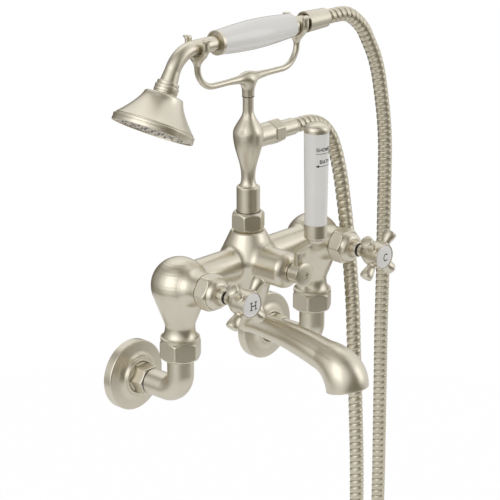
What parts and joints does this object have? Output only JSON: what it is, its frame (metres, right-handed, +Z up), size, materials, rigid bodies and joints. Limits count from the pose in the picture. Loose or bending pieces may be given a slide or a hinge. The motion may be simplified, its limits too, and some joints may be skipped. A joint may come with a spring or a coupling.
{
  "type": "bath shower mixer",
  "caption": "Wall-mounted bath shower mixer with cross-head taps, level spout, lever diverter, riser column and a hand shower on a cradle with a metal hose.",
  "frame": {"origin": "on the finished wall, midway between the two inlet centres, at the height of the inlets", "axes": "+X along the wall towards the cold side, -Y out of the wall into the room, +Z up"},
  "size_m": [0.3995, 0.2291, 0.7353],
  "materials": {
    "satin_nickel": "satin nickel plate",
    "hose_metal": "interlocked satin metal strip",
    "porcelain": "white glaze",
    "ceramic": "ground ceramic",
    "rubber": "black rubber"
  },
  "bodies": {
    "mixer": {"hot_wall_flange": "satin_nickel", "cold_wall_flange": "satin_nickel", "hot_wall_nut": "satin_nickel", "cold_wall_nut": "satin_nickel", "hot_elbow": "satin_nickel", "cold_elbow": "satin_nickel", "hot_union_nut": "satin_nickel", "cold_union_nut": "satin_nickel", "hot_union_washer": "rubber", "cold_union_washer": "rubber", "hot_tap_body": "satin_nickel", "cold_tap_body": "satin_nickel", "hot_crossbar": "satin_nickel", "cold_crossbar": "satin_nickel", "hot_bonnet": "satin_nickel", "cold_bonnet": "satin_nickel", "hot_gland_collar": "satin_nickel", "cold_gland_collar": "satin_nickel", "hot_fixed_disc": "ceramic", "cold_fixed_disc": "ceramic", "centre_body": "satin_nickel", "spout": "satin_nickel", "flow_straightener": "satin_nickel", "diverter_bonnet": "satin_nickel", "column_nut": "satin_nickel", "column_washer": "rubber", "riser_column": "satin_nickel", "hose_washer": "rubber", "hose_nut": "satin_nickel", "hose_ferrule": "satin_nickel", "cradle": "satin_nickel", "shower_hose": "hose_metal"},
    "hot_tap": {"hot_moving_disc": "ceramic", "hot_spindle": "satin_nickel", "hot_spindle_seal": "rubber", "hot_cross_handle": "satin_nickel", "hot_handle_screw": "satin_nickel", "hot_index": "porcelain"},
    "cold_tap": {"cold_moving_disc": "ceramic", "cold_spindle": "satin_nickel", "cold_spindle_seal": "rubber", "cold_cross_handle": "satin_nickel", "cold_handle_screw": "satin_nickel", "cold_index": "porcelain"},
    "diverter": {"diverter_spindle": "satin_nickel", "diverter_seal": "rubber", "lever_arm": "satin_nickel", "lever_screw": "satin_nickel", "lever_ferrule": "satin_nickel", "lever_grip": "porcelain", "lever_cap": "satin_nickel"},
    "handset": {"shower_tube": "satin_nickel", "rose_neck": "satin_nickel", "rose_nut": "satin_nickel", "rose": "satin_nickel", "nozzle_plate": "satin_nickel", "shower_handle": "porcelain", "handle_rings": "satin_nickel", "rear_ferrule": "satin_nickel"}
  },
  "joints": [
    {"name": "hot_tap_turn", "type": "hinge", "parent": "mixer", "child": "hot_tap", "pos_m": [-0.09, -0.15, 0.106], "axis": [0, -1, 0], "range_deg": [0, 90]},
    {"name": "cold_tap_turn", "type": "hinge", "parent": "mixer", "child": "cold_tap", "pos_m": [0.09, -0.15, 0.106], "axis": [0, 1, 0], "range_deg": [0, 90]},
    {"name": "diverter_swing", "type": "hinge", "parent": "mixer", "child": "diverter", "pos_m": [0, -0.13, 0.106], "axis": [0, -1, 0], "range_deg": [-45, 45]},
    {"name": "handset_lift", "type": "slide", "parent": "mixer", "child": "handset", "axis": [0, 0, 1], "range_m": [0, 0.07], "deforming": ["shower_hose"]}
  ]
}
